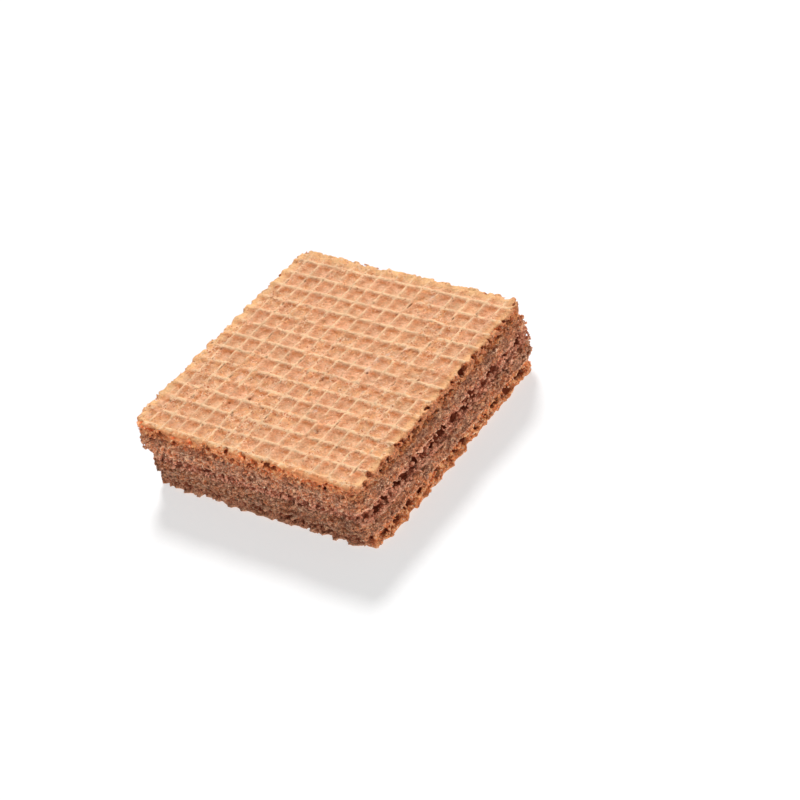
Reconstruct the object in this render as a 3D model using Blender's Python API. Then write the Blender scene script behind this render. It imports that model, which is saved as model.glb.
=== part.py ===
"""Square layered wafer biscuit: three waffle-embossed wafer sheets with two layers of cocoa cream.

Metres, +Z up. The origin is the middle of the base, on the plane of the lowest ridges, where the
wafer lies. +X runs along the embossed rows and -Y is the front, where the top sheet has broken
back to a ridge.
"""

import math
import random

import bmesh
import bpy
from mathutils import Matrix, Vector

MM = 0.001

# The square, as cut from a large filled sheet. It widens a little towards the front, and the front
# side runs a little out of square.
BACK_WIDTH = 44.8 * MM
FRONT_WIDTH = 46.5 * MM
DEPTH = 44.4 * MM
FRONT_SKEW = 0.6 * MM  # how much further forward the left end of the front lies
CORNER_STEPS = 3

# How far each corner is worn or broken back: back left, front left, front right, back right.
CORNERS = {
    "wafer_bottom": (1.6 * MM, 4.6 * MM, 3.4 * MM, 5.6 * MM),
    "cream_lower": (1.6 * MM, 5.0 * MM, 3.4 * MM, 3.0 * MM),
    "wafer_middle": (1.8 * MM, 5.2 * MM, 3.4 * MM, 1.8 * MM),
    "cream_upper": (1.4 * MM, 3.6 * MM, 3.2 * MM, 2.2 * MM),
    "wafer_top": (1.4 * MM, 3.4 * MM, 3.2 * MM, 2.6 * MM),
}
TOP_CHIP = (1.6 * MM, 1.0 * MM)  # the top sheet's front, broken back to a ridge: left and right

# The stack, from the base up.
BOTTOM_SHEET = 3.00 * MM
MIDDLE_SHEET = 3.10 * MM
TOP_SHEET = 2.80 * MM
CREAM = 1.80 * MM
JOINT_GAP = 0.25 * MM  # clearance between one solid and the next

# The embossed grid on both outer faces. Each grid lies off the middle of the wafer by its shift, and
# runs over its columns from the left and its rows from the front, so that a flat border stays at the
# left and at the back.
CELL = 3.1 * MM
RIDGE_CREST = 0.46 * MM
RIDGE_FLANK = 0.28 * MM  # how far each side of a ridge slopes outwards on its way down
RIDGE_HEIGHT = 0.42 * MM
TOP_GRID = {"shift": (0.47, -0.44), "columns": range(-6, 8), "rows": range(-7, 6)}
BASE_GRID = {"shift": (0.40, -0.30), "columns": range(-6, 8), "rows": range(-8, 6)}

# The cut sides.
OUTLINE_STEP = 1.9 * MM
SHEET_CRUMB = 0.36 * MM  # how far crumbs have fallen out of a cut wafer sheet
CREAM_CRUMB = 0.24 * MM
CREAM_BULGE = 0.12 * MM
POCKET_LENGTH = 1.50 * MM  # half sizes of an open air pocket, before it varies
POCKET_DEPTH = 1.30 * MM
POCKET_HEIGHT = 0.85 * MM
POCKET_SHARE = 0.76  # of the cells along a side that the cut has opened

SURFACES = {
    "wafer": ((0.68, 0.33, 0.16, 1.0), 0.75),
    "cream": ((0.34, 0.15, 0.085, 1.0), 0.60),
}


def clear_scene():
    for thing in list(bpy.data.objects):
        bpy.data.objects.remove(thing, do_unlink=True)


def new_collection(name):
    collection = bpy.data.collections.new(name)
    bpy.context.scene.collection.children.link(collection)
    return collection


def material(name):
    colour, roughness = SURFACES[name]
    made = bpy.data.materials.new(name)
    made.use_nodes = True
    shader = made.node_tree.nodes["Principled BSDF"]
    shader.inputs["Base Color"].default_value = colour
    shader.inputs["Roughness"].default_value = roughness
    shader.inputs["Metallic"].default_value = 0.0
    made.diffuse_color = colour
    return made


def object_from(bm, name, collection):
    bmesh.ops.recalc_face_normals(bm, faces=bm.faces)
    mesh = bpy.data.meshes.new(name)
    bm.to_mesh(mesh)
    bm.free()
    made = bpy.data.objects.new(name, mesh)
    collection.objects.link(made)
    return made


def square_corners(chip=(0.0, 0.0)):
    """The four corners before they're turned, anticlockwise from the back left."""
    return [
        Vector((-BACK_WIDTH / 2, DEPTH / 2)),
        Vector((-FRONT_WIDTH / 2, -DEPTH / 2 + chip[0])),
        Vector((FRONT_WIDTH / 2, -DEPTH / 2 + FRONT_SKEW + chip[1])),
        Vector((BACK_WIDTH / 2, DEPTH / 2)),
    ]


def rounded_outline(corners, setbacks):
    """Points about OUTLINE_STEP apart round the wafer, with each corner turned by a quadratic curve."""
    points = []
    for index, (corner, setback) in enumerate(zip(corners, setbacks)):
        before = corners[index - 1]
        after = corners[(index + 1) % len(corners)]
        after_setback = setbacks[(index + 1) % len(corners)]
        turn_in = corner + (before - corner).normalized() * setback
        turn_out = corner + (after - corner).normalized() * setback
        for step in range(CORNER_STEPS):
            t = step / CORNER_STEPS
            points.append((1 - t) ** 2 * turn_in + 2 * t * (1 - t) * corner + t**2 * turn_out)
        side_end = after + (corner - after).normalized() * after_setback
        steps = round((side_end - turn_out).length / OUTLINE_STEP)
        points += [turn_out.lerp(side_end, step / steps) for step in range(steps)]
    return points


def outward_normals(points):
    normals = []
    for index in range(len(points)):
        along = points[(index + 1) % len(points)] - points[index - 1]
        normals.append(Vector((along.y, -along.x)).normalized())
    return normals


def crumbled_ring(points, normals, height, offset, crumb, draw):
    """The outline at one height, moved by offset and bitten inwards by up to crumb at each point."""
    return [
        (*(point + normal * (offset - crumb * draw.random())), height)
        for point, normal in zip(points, normals)
    ]


def loft(rings, name, collection):
    """A closed solid through rings of equal count, with a flat face at each end."""
    bm = bmesh.new()
    levels = [[bm.verts.new(point) for point in ring] for ring in rings]
    for lower, upper in zip(levels, levels[1:]):
        for index in range(len(lower)):
            bm.faces.new((lower[index - 1], lower[index], upper[index], upper[index - 1]))
    bm.faces.new(levels[0])
    bm.faces.new(levels[-1])
    return object_from(bm, name, collection)


def layer(name, low, high, offsets, crumb, seed, collection, corners):
    """One layer of the stack, with a ring of its outline for each offset from its low face up."""
    draw = random.Random(seed)
    points = rounded_outline(corners, CORNERS[name])
    normals = outward_normals(points)
    rings = [
        crumbled_ring(points, normals, low + (high - low) * row / (len(offsets) - 1), offset, crumb, draw)
        for row, offset in enumerate(offsets)
    ]
    return loft(rings, name, collection)


def grid_centre(index, shift):
    """Where the middle of a cell lies along one axis."""
    return (index + 0.5 - shift) * CELL


def add_recesses(bm, crest_plane, outward, grid):
    """Frustums that leave the ridges standing: each reaches from below the ridges to past their crests."""
    slope = RIDGE_FLANK / RIDGE_HEIGHT
    past = 0.7 * RIDGE_CREST / (2 * slope)
    mouth = (CELL - RIDGE_CREST) / 2 + slope * past
    floor = (CELL - RIDGE_CREST) / 2 - RIDGE_FLANK
    depth = RIDGE_HEIGHT + past
    square = Matrix.Rotation(math.radians(45), 4, "Z")
    radii = (floor, mouth) if outward > 0 else (mouth, floor)
    for column in grid["columns"]:
        for row in grid["rows"]:
            x, y = grid_centre(column, grid["shift"][0]), grid_centre(row, grid["shift"][1])
            centre = Vector((x, y, crest_plane))
            centre.z += outward * (past - RIDGE_HEIGHT) / 2
            bmesh.ops.create_cone(
                bm,
                cap_ends=True,
                segments=4,
                radius1=radii[0] * math.sqrt(2),
                radius2=radii[1] * math.sqrt(2),
                depth=depth,
                matrix=Matrix.Translation(centre) @ square,
            )


def pocket_places(corners):
    """Where cells meet the cut sides: a point on the side and the direction along it."""
    for index, start in enumerate(corners):
        end = corners[(index + 1) % len(corners)]
        along = (end - start).normalized()
        count = int((end - start).length / CELL) - 1
        margin = ((end - start).length - (count - 1) * CELL) / 2
        for place in range(count):
            yield start + along * (margin + place * CELL), along


def add_pockets(bm, middle, draw, corners):
    """Flattened air pockets between the two skins of a sheet, laid open by the cut."""
    for point, along in pocket_places(corners):
        size = 0.70 + 0.35 * draw.random()
        drift = (draw.random() - 0.5) * 0.3 * CELL
        opened = draw.random() < POCKET_SHARE
        if not opened:
            continue
        place = point + along * drift
        turn = Matrix.Rotation(math.atan2(along.y, along.x) + 0.4 * (draw.random() - 0.5), 4, "Z")
        stretch = Matrix.Diagonal((POCKET_LENGTH * size, POCKET_DEPTH * size, POCKET_HEIGHT * size, 1.0))
        lift = (draw.random() - 0.5) * 0.1 * POCKET_HEIGHT
        matrix = Matrix.Translation((place.x, place.y, middle + lift)) @ turn @ stretch
        bmesh.ops.create_icosphere(bm, subdivisions=1, radius=1.0, matrix=matrix)


def cut(target, bm, collection):
    """Takes the shapes in bm out of target."""
    cutter = object_from(bm, target.name + "_cutter", collection)
    cutter.hide_render = True
    cutter.display_type = "WIRE"
    boolean = target.modifiers.new("openings", "BOOLEAN")
    boolean.operation = "DIFFERENCE"
    boolean.solver = "EXACT"
    boolean.use_self = True
    boolean.object = cutter


def wafer_sheet(name, low, high, seed, collection, cutters, ridges=0, grid=None, chip=(0.0, 0.0)):
    """A wafer sheet. ridges is +1 for embossing on its upper face, -1 on its lower face and 0 on none."""
    offsets = (0.0, -0.5 * SHEET_CRUMB, 0.0)
    corners = square_corners(chip)
    sheet = layer(name, low, high, offsets, SHEET_CRUMB, seed, collection, corners)
    openings = bmesh.new()
    if ridges:
        add_recesses(openings, high if ridges > 0 else low, ridges, grid)
    middle = (low + high - ridges * RIDGE_HEIGHT) / 2
    add_pockets(openings, middle, random.Random(seed + 1), corners)
    cut(sheet, openings, cutters)
    return sheet


def cream_layer(name, low, high, seed, collection):
    """Cream, pressed out a little between two sheets."""
    offsets = (0.0, CREAM_BULGE, 0.0)
    return layer(name, low, high, offsets, CREAM_CRUMB, seed, collection, square_corners())


def main():
    clear_scene()
    biscuit = new_collection("layered_wafer")
    cutters = new_collection("cutters")
    wafer = material("wafer")
    cream = material("cream")

    z = 0.0
    bottom = wafer_sheet("wafer_bottom", z, z + BOTTOM_SHEET, 11, biscuit, cutters, -1, BASE_GRID)
    z += BOTTOM_SHEET
    lower = cream_layer("cream_lower", z + JOINT_GAP, z + CREAM - JOINT_GAP, 23, biscuit)
    z += CREAM
    middle = wafer_sheet("wafer_middle", z, z + MIDDLE_SHEET, 37, biscuit, cutters)
    z += MIDDLE_SHEET
    upper = cream_layer("cream_upper", z + JOINT_GAP, z + CREAM - JOINT_GAP, 41, biscuit)
    z += CREAM
    top = wafer_sheet("wafer_top", z, z + TOP_SHEET, 53, biscuit, cutters, 1, TOP_GRID, TOP_CHIP)

    for sheet in (bottom, middle, top):
        sheet.data.materials.append(wafer)
    for filling in (lower, upper):
        filling.data.materials.append(cream)


main()
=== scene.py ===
"""The looks of the layered wafer: every layer is replaced by a finely worn mesh of its own.

Shapes are worked out in millimetres, as a field on a grid that is below zero inside the wafer, and
each mesh is the surface where its field crosses zero. Places on the top are given in grid cells: u
counts them from the left-most ridge and v from the back one.
"""

import math

import bpy
import numpy as np
from mathutils import Euler, Matrix, Vector


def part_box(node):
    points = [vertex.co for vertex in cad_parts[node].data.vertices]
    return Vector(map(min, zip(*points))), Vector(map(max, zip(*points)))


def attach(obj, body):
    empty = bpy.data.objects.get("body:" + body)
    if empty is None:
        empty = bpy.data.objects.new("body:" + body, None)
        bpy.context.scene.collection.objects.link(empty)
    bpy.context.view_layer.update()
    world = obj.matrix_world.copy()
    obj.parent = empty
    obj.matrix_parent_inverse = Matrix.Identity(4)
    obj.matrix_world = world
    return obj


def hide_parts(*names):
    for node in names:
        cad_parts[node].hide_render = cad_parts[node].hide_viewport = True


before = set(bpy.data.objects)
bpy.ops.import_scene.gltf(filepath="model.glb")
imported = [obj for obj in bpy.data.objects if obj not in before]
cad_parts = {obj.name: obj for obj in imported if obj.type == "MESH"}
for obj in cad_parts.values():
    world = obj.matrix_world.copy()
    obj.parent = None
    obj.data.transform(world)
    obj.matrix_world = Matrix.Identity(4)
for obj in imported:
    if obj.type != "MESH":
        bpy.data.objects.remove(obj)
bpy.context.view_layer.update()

MM = 0.001
BODY = "root"

# The outline. It is the solids' own, but the top sheet's front is broken back less, and the two outer
# sheets are worn differently at the front right corner.
BACK_WIDTH = 44.8
FRONT_WIDTH = 46.5
DEPTH = 44.4
FRONT_SKEW = 0.6
TOP = 12.5
TOP_CHIP = (1.05, 0.45)  # the top sheet's front, broken back to a ridge: left and right
CORNERS = {  # how far each corner is worn: back left, front left, front right, back right
    "wafer_bottom": (1.6, 4.6, 4.6, 5.6),
    "cream_lower": (1.6, 5.0, 3.4, 3.0),
    "wafer_middle": (1.8, 5.2, 3.4, 1.8),
    "cream_upper": (1.4, 3.6, 3.2, 2.2),
    "wafer_top": (1.4, 3.4, 2.7, 2.6),
}

# The embossed grid.
CELL = 3.1
RIDGE_CREST = (0.07, 0.11)  # half width of the flat top of a ridge that runs to the front or across
RIDGE_STEEP = 0.42  # how far the steep part of a flank reaches
RIDGE_FOOT = ((0.6, 2.2), (0.6, 1.3))  # how far the foot reaches: left, right, behind and in front
FOOT_SHARE = (0.05, 0.68)  # of the height that the foot still falls
BROWNED_AND_SHADED = (  # where the flank past the crest is painted darker brown, partly browning and partly painted shade, where that fades again, and how strong it is
    (0.2, 0.8, 1.2, 1.9, 0.66),
    (0.22, 0.6, 0.85, 1.32, 1.0),
)
RIDGE_HEIGHT = 0.42
TOP_RIDGES = (0, 13)  # the first and the last ridge, in both directions
BASE_RIDGES = (-2, 15)
TOP_ORIGIN = (-6.475 * CELL, 6.44 * CELL)  # where u and v are both 0
BASE_ORIGIN = (-6.4 * CELL, 6.3 * CELL)
BLISTER_RISE = 0.22
BLISTER_FOAM = 0.2
FACE_GRAIN = 0.1
TONE_CELLS = 24  # a square of cells that each have a tone of their own, wider than the wafer
TONE_SHIFT = 4

# The grids that the surfaces are read from.
GRAIN = 0.19
FLAT_GRAIN = 0.17  # upwards, in a layer without embossing
FINE_GRAIN = 0.125  # upwards, through the embossing
MARGIN = 0.5
RIDGE_LINES = (-0.86, -0.57, -0.33, -0.12, 0.12, 0.33, 0.55, 0.82, 1.12, 1.46, 1.84)  # off a ridge
HIDDEN_INSET = 2.1  # further in than this, a face between two layers is left flat and plain
FLATNESS = 0.02
NOISE_LOW = (-26.0, -26.0, -2.0)
NOISE_HIGH = (26.0, 26.0, 15.0)

# Wear of the cut sides.
SPREAD = 0.25  # how far the longest crumbs reach past the solids' outline
SPREAD_TRIM = 0.02
SKIN = 0.32  # how thick the closed skins of a sheet are
SCALLOP = 0.6  # how far a skin's edge has broken back here and there
FACE_SCALLOP = 0.42  # the same for the two baked faces
FULL_CRUMB = 0.14  # how far crumb would stand past the outline before the wear
FULL_FACE = 0.48  # the same for the two baked faces
TOP_WEAR = (1.45, 0.62)  # the most that crumb and skin lose
MIDDLE_WEAR = (1.55, 0.8)
BASE_WEAR = (1.45, 0.5)
CREAM_WEAR = 1.05
CRUMB_SIZES = ((1.15, 0.46), (0.6, 0.28), (0.32, 0.14))  # size in mm and share of the wear
EDGE_CRUMBS = 0.18  # how far small crumbs have left the edge of a baked face
FRONT_CRUMBS = 0.85  # the same for larger ones along the front
WORN_RIGHT = 0.16
CRUMB_INSET = (0.2, 0.8)
CREAM_OVERLAP = 0.02  # how far cream reaches into the sheets
UNDER_SKIN = 0.95  # how far below the highest ridges the crumb has fallen out from under the skin
POCKET_SHARE = 0.85  # of the cells along a side that the cut has opened
RIGHT_POCKET = (1.15, 1.38, 2.4)  # shares of a table's length and height, and half depth in mm
FRONT_POCKET = (1, 1, 1.5)

# The seen pockets: u or v, then in hundredths of a cell their depth below the top, half length and
# half height.
TOP_RIGHT = (
    (13.4, 55, 40, 22), (12.2, 45, 36, 24), (11.3, 60, 25, 18), (10.5, 48, 42, 30), (9.6, 45, 36, 22),
    (8.7, 50, 30, 24), (8.0, 52, 36, 26), (6.9, 50, 40, 28), (6.1, 60, 24, 16), (5.4, 48, 38, 24),
    (4.6, 38, 45, 16), (3.5, 42, 30, 22), (2.7, 55, 30, 20), (2.0, 40, 28, 20), (1.2, 60, 26, 18),
    (0.6, 42, 42, 24),
)
TOP_FRONT = (
    (0.3, 75, 30, 16), (1.9, 58, 32, 20), (3.1, 62, 46, 18), (4.6, 66, 30, 20), (5.7, 58, 26, 14),
    (6.8, 52, 34, 20), (8.1, 60, 24, 14), (9.3, 58, 36, 18), (10.4, 58, 28, 18), (11.6, 66, 28, 16),
)
MIDDLE_RIGHT = (
    (13.1, 200, 30, 22), (12.3, 205, 34, 24), (11.6, 198, 36, 26), (10.7, 194, 42, 22),
    (10.1, 210, 32, 20), (9.3, 195, 40, 26), (8.6, 185, 32, 24), (7.7, 200, 44, 28), (6.9, 192, 42, 26),
    (6.0, 205, 30, 20), (5.2, 200, 46, 30), (4.4, 198, 40, 26), (3.3, 200, 32, 24), (2.6, 188, 46, 30),
    (1.5, 205, 38, 22), (0.4, 192, 36, 26),
)
MIDDLE_FRONT = (
    (0.2, 205, 30, 16), (3.6, 195, 26, 14), (5.2, 210, 24, 12), (7.4, 195, 30, 14), (9.7, 205, 30, 16),
    (11.2, 195, 26, 16), (12.4, 205, 34, 20),
)
BASE_RIGHT = (
    (13.0, 355, 28, 20), (12.3, 356, 34, 24), (11.5, 354, 26, 20), (10.5, 350, 42, 24), (9.5, 352, 38, 22),
    (8.9, 360, 20, 16), (8.2, 350, 30, 20), (7.3, 350, 36, 24), (6.5, 356, 26, 18), (5.8, 354, 40, 26),
    (4.7, 354, 36, 22), (3.9, 356, 30, 22), (3.1, 350, 28, 22), (2.2, 354, 42, 26), (0.9, 348, 42, 26),
)
BASE_FRONT = (
    (1.0, 345, 26, 16), (2.4, 350, 22, 12), (3.5, 350, 40, 20), (4.9, 330, 34, 20), (6.4, 350, 24, 14),
    (8.4, 342, 32, 20), (9.7, 350, 24, 14), (11.3, 346, 30, 18),
)

# Marks on the top.
TOP_BREAKS = (  # u, v, radius in mm, share of the ridge's height that is lost
    (4.2, 3.9, 1.0, 0.8), (3.0, 4.0, 0.8, 0.6), (9.0, 4.6, 1.3, 0.9), (9.2, 5.6, 1.0, 0.8),
    (9.9, 4.8, 0.8, 0.6), (2.6, 5.3, 0.8, 0.7), (2.4, 8.8, 1.0, 0.9), (2.6, 9.5, 0.9, 0.7),
    (9.2, 9.8, 1.2, 0.9), (9.3, 10.6, 1.0, 0.9), (6.5, 8.5, 1.2, 0.7), (7.3, 8.6, 0.8, 0.8),
    (7.1, 7.4, 0.5, 0.9), (3.4, 10.7, 0.9, 0.7), (9.1, 1.4, 1.0, 0.7), (8.2, 1.0, 0.7, 0.6),
    (12.8, 4.9, 1.1, 0.8), (13.4, 5.0, 0.9, 0.8), (2.3, 0.6, 0.9, 0.6), (1.4, 0.2, 0.8, 0.6),
    (11.2, 6.1, 0.9, 0.5), (11.0, 3.1, 0.8, 0.5), (8.7, 9.2, 0.8, 0.6), (5.6, 9.4, 0.8, 0.5),
    (6.9, 5.9, 0.5, 0.6), (1.0, 2.9, 0.8, 0.5), (12.0, 8.6, 0.7, 0.6), (10.1, 7.1, 0.7, 0.5),
)
CRACKS = (  # u, v, half length in mm: slits along the ridges that run to the front
    (8.1, 1.35, 0.75), (11.05, 1.55, 0.55), (2.05, 5.4, 0.7), (12.1, 5.9, 0.35), (1.05, 1.4, 0.4),
    (6.1, 5.3, 0.3), (7.95, 6.9, 0.4), (11.0, 6.6, 0.4), (4.05, 8.2, 0.3), (12.15, 1.0, 0.3),
)
HOLES = (  # u, v, radius in mm
    (9.3, 10.55, 0.34), (4.25, 9.8, 0.26), (7.1, 7.4, 0.28), (9.15, 6.25, 0.24), (3.1, 3.95, 0.2),
    (13.95, 10.0, 0.45), (3.3, 10.35, 0.22), (12.0, 2.95, 0.18), (7.2, 8.5, 0.2), (10.2, 0.4, 0.2),
)
BLOOMS = (  # u, v, radius in mm: whitish patches
    (9.1, 5.35, 0.9), (9.05, 6.05, 0.7), (9.75, 7.5, 0.5), (8.85, 0.45, 0.6), (9.3, 4.8, 0.6),
    (2.55, 8.7, 0.8), (10.0, 4.2, 0.5), (8.3, 9.4, 0.5),
)
BROKEN_CORNER = (13.8, 12.2, 3.2)  # u, v, radius in mm: where the front right corner has lost its skin
NOTCH = (23.15, -17.8, 0.05)  # x, y and height above the ridges of what broke off there
NOTCH_SIZES = (1.05, 4.2, 0.55)
NOTCH_TURN = (0, 0, -0.307)
FLAKE = (13.75, 12.86, 0.9)  # u, v, radius in mm: a loose flake beside it
FLAKE_SINK = 0.45
FLAKE_SIZES = (0.95, 0.55, 0.18)
FLAKE_TURN = (0.2, 0.1, 0.1)


def from_grid(u, v, origin=TOP_ORIGIN):
    """Where grid cell coordinates lie, in mm."""
    return origin[0] + u * CELL, origin[1] - v * CELL


# ---- fields


def ramp(low, high, value):
    """0 up to low, 1 from high on, and smooth in between."""
    t = np.clip((value - low) / (high - low), 0, 1)
    return t * t * (3 - 2 * t)


def noise(axes, size, seed):
    """Smooth noise from -1 to 1 on a grid of two or three axes, with lumps about size mm across."""
    reach = list(zip(NOISE_LOW, NOISE_HIGH))[:len(axes)]
    counts = [int((high - low) / size) + 3 for low, high in reach]
    values = np.random.default_rng(seed).uniform(-1, 1, counts).astype(np.float32)
    for axis in reversed(range(len(axes))):
        place = (axes[axis] - NOISE_LOW[axis]) / size
        low = np.clip(place.astype(int), 0, counts[axis] - 2)
        t = np.clip(place - low, 0, 1).astype(np.float32)
        t = t * t * (3 - 2 * t)
        t = t.reshape([-1 if a == axis else 1 for a in range(len(axes))])
        values = np.take(values, low, axis=axis) * (1 - t) + np.take(values, low + 1, axis=axis) * t
    return values


def ridge_lines(reach, origin, sign):
    """Grid lines that lie close together at the ridges, which are counted along or against the axis."""
    first, last = int((-reach - origin) / CELL) - 2, int((reach - origin) / CELL) + 3
    lines = np.sort([origin + CELL * n + sign * o for n in range(first, last) for o in RIDGE_LINES])
    return lines[np.abs(lines) < reach + GRAIN]


def layer_grid(origin, *upwards):
    """The grid lines of a layer. upwards gives them along z, in stretches with a step each."""
    reach = FRONT_WIDTH / 2 + MARGIN, DEPTH / 2 + MARGIN
    if origin:
        across, deep = ridge_lines(reach[0], origin[0], 1), ridge_lines(reach[1], origin[1], -1)
    else:
        across, deep = (np.arange(-r, r + GRAIN, GRAIN) for r in reach)
    return across, deep, np.concatenate([np.arange(*stretch) for stretch in upwards])


def outline_of(layer, chip=(0.0, 0.0)):
    """The layer's outline, anticlockwise, with each corner turned by a quadratic curve."""
    back, front = DEPTH / 2 + SPREAD, -DEPTH / 2 - SPREAD
    back_x, front_x = BACK_WIDTH / 2 + SPREAD, FRONT_WIDTH / 2 + SPREAD
    corners = [(-back_x, back), (-front_x, front + chip[0])]
    corners = np.array([*corners, (front_x, front + FRONT_SKEW + chip[1]), (back_x, back)])
    points = []
    for index, setback in enumerate(CORNERS[layer]):
        corner, before, after = corners[index], corners[index - 1], corners[(index + 1) % 4]
        turn_in = corner + (before - corner) / np.linalg.norm(before - corner) * setback
        turn_out = corner + (after - corner) / np.linalg.norm(after - corner) * setback
        for t in np.linspace(0, 1, 9):
            points.append((1 - t) ** 2 * turn_in + 2 * t * (1 - t) * corner + t**2 * turn_out)
    return np.array(points)


def outline_distance(axes, outline):
    """Distance from the outline at each point of the grid, below zero inside it."""
    x, y = axes[0][:, None], axes[1][None, :]
    nearest = np.full((len(axes[0]), len(axes[1])), np.inf)
    inside = np.zeros(nearest.shape, bool)
    for a, b in zip(outline, np.roll(outline, -1, axis=0)):
        edge = b - a
        t = np.clip(((x - a[0]) * edge[0] + (y - a[1]) * edge[1]) / (edge @ edge), 0, 1)
        away = (x - a[0] - t * edge[0]) ** 2 + (y - a[1] - t * edge[1]) ** 2
        nearest = np.minimum(nearest, away)
        if a[1] != b[1]:
            crossing = a[0] + (y - a[1]) * edge[0] / edge[1]
            inside ^= ((a[1] > y) != (b[1] > y)) & (x < crossing)
    return np.where(inside, -1, 1) * np.sqrt(nearest)


def upright_distance(axes, outline):
    """The same on the whole grid, for a layer whose sides stand upright."""
    return outline_distance(axes, outline)[:, :, None] + 0 * axes[2][None, None, :]


def along_outline(outline, count):
    """Evenly spaced places round the outline, each with the direction that the side runs in."""
    ends = np.roll(outline, -1, axis=0)
    lengths = np.linalg.norm(ends - outline, axis=1)
    reached = np.concatenate([[0], np.cumsum(lengths)])
    for place in (np.arange(count) + 0.5) / count * reached[-1]:
        edge = np.searchsorted(reached, place) - 1
        share = (place - reached[edge]) / lengths[edge]
        direction = (ends[edge] - outline[edge]) / lengths[edge]
        yield outline[edge] + share * (ends[edge] - outline[edge]), direction


def ellipsoid(field, axes, centre, radii, turn=(0, 0, 0), rough=None, add=False):
    """Takes an ellipsoid out of the field, or adds it. rough is noise on the same grid."""
    reach = max(radii) * 1.5 + GRAIN
    block = tuple(slice(*np.searchsorted(a, (c - reach, c + reach))) for a, c in zip(axes, centre))
    x, y, z = (a[s] - c for a, s, c in zip(axes, block, centre))
    if not (len(x) and len(y) and len(z)):
        return
    offset = np.stack(np.meshgrid(x, y, z, indexing="ij"), -1)
    if any(turn):
        offset = offset @ np.array(Euler(turn).to_matrix())
    length = np.sqrt(((offset / np.array(radii)) ** 2).sum(-1))
    if rough is not None:
        length = length * (1 + rough[block])
    distance = (length - 1) * min(radii)
    if add:
        field[block] = np.minimum(field[block], distance)
    else:
        field[block] = np.maximum(field[block], -distance)


def surface_net(axes, field):
    """The surface where the field crosses zero: one point in each grid cell that it passes, and quads."""
    inside = field < 0
    cells = tuple(n - 1 for n in field.shape)
    total = np.zeros((*cells, 3))
    count = np.zeros(cells, int)
    crossings = []
    for axis in range(3):
        index = np.nonzero(np.diff(inside, axis=axis))
        ahead = tuple(i + (a == axis) for a, i in enumerate(index))
        before, after = field[index], field[ahead]
        place = np.stack([lines[i] for lines, i in zip(axes, index)], 1)
        place[:, axis] += before / (before - after) * (axes[axis][ahead[axis]] - place[:, axis])
        around = []
        for back in ((1, 1), (0, 1), (0, 0), (1, 0)):
            cell = tuple(i - b for i, b in zip(index, np.insert(back, axis, 0)))
            total[cell] += place
            count[cell] += 1
            around.append(cell)
        crossings.append((around, inside[index] != (axis == 1)))
    used = np.nonzero(count)
    number = np.full(cells, -1)
    number[used] = np.arange(len(used[0]))
    quads = []
    for around, forwards in crossings:
        ring = np.stack([number[cell] for cell in around], 1)
        quads.append(np.where(forwards[:, None], ring, ring[:, ::-1]))
    return total[used] / count[used][:, None], np.concatenate(quads)


def largest_piece(points, quads):
    """Drops loose scraps and sealed hollows, and keeps the one largest surface."""
    label = np.arange(len(points))
    while True:
        lower = label.copy()
        lowest = label[quads].min(axis=1)
        for corner in range(4):
            np.minimum.at(lower, quads[:, corner], lowest)
        lower = lower[lower]
        if (lower == label).all():
            break
        label = lower
    keep = label == np.bincount(label).argmax()
    number = np.cumsum(keep) - 1
    return points[keep], number[quads[keep[quads[:, 0]]]]


def plain_hidden_faces(points, quads, inset, heights):
    """Replaces the flat hidden inside of each face at one of these heights by a single polygon."""
    centre = points[quads].mean(axis=1)
    inner = inset[quads].min(axis=1) > HIDDEN_INSET
    drop = np.zeros(len(quads), bool)
    faces = []
    for height in heights:
        hidden = inner & (np.abs(centre[:, 2] - height) < FLATNESS)
        drop |= hidden
        ring = quads[hidden]
        ends = np.concatenate([ring[:, [n, (n + 1) % 4]] for n in range(4)])
        forward, backward = ends @ (len(points), 1), ends @ (1, len(points))
        border = dict(ends[~np.isin(forward, backward)].tolist())
        loop = [next(iter(border))]
        for _ in range(len(border) - 1):
            loop.append(border[loop[-1]])
        faces.append(loop)
    return quads[~drop], faces


def linked_object(name, data):
    made = bpy.data.objects.new(name, data)
    bpy.context.scene.collection.objects.link(made)
    return made


def mesh_object(name, points, quads, extra, attributes):
    """An object. Its baked faces are shaded smooth, and torn ones keep their sharp facets."""
    faces = quads.tolist() + extra
    used = np.zeros(len(points), bool)
    used[np.concatenate([quads.ravel(), *extra])] = True
    number = (np.cumsum(used) - 1).tolist()
    faces = [[number[v] for v in face] for face in faces]
    mesh = bpy.data.meshes.new(name)
    mesh.from_pydata((points[used] * MM).tolist(), [], faces)
    for key, values in attributes.items():
        attribute = mesh.attributes.new(key, "FLOAT", "POINT")
        attribute.data.foreach_set("value", values[used].astype(np.float32))
    baked = attributes.get("baked", 0 * used)[used]
    mesh.polygons.foreach_set("use_smooth", np.array([baked[face[:4]].min() > 0.5 for face in faces]))
    return linked_object(name, mesh)


def sample(axes, values, points):
    """The value of a flat grid at each point, blended between grid lines."""
    index, share = [], []
    for axis in range(2):
        lines = axes[axis]
        low = np.clip(np.searchsorted(lines, points[:, axis]) - 1, 0, len(lines) - 2)
        index.append(low)
        share.append((points[:, axis] - lines[low]) / (lines[low + 1] - lines[low]))
    (i, j), (s, t) = index, share
    near = values[i, j] * (1 - s) + values[i + 1, j] * s
    far = values[i, j + 1] * (1 - s) + values[i + 1, j + 1] * s
    return near * (1 - t) + far * t


# ---- faces and edges


def foam(axes, size, seed):
    """Noise from 0 to 1 that is 0 along thin winding walls, as in torn wafer, and 1 in the hollows."""
    return np.minimum(2.2 * np.abs(noise(axes, size, seed)), 1)


def joint_face(axes, distance, height, seed):
    """The face between two layers: uneven near the sides, flat further in."""
    uneven = 0.2 * noise(axes[:2], 1.9, seed) + 0.13 * noise(axes[:2], 0.7, seed + 1)
    return height + uneven * ramp(-1.9, -0.9, distance)


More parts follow.
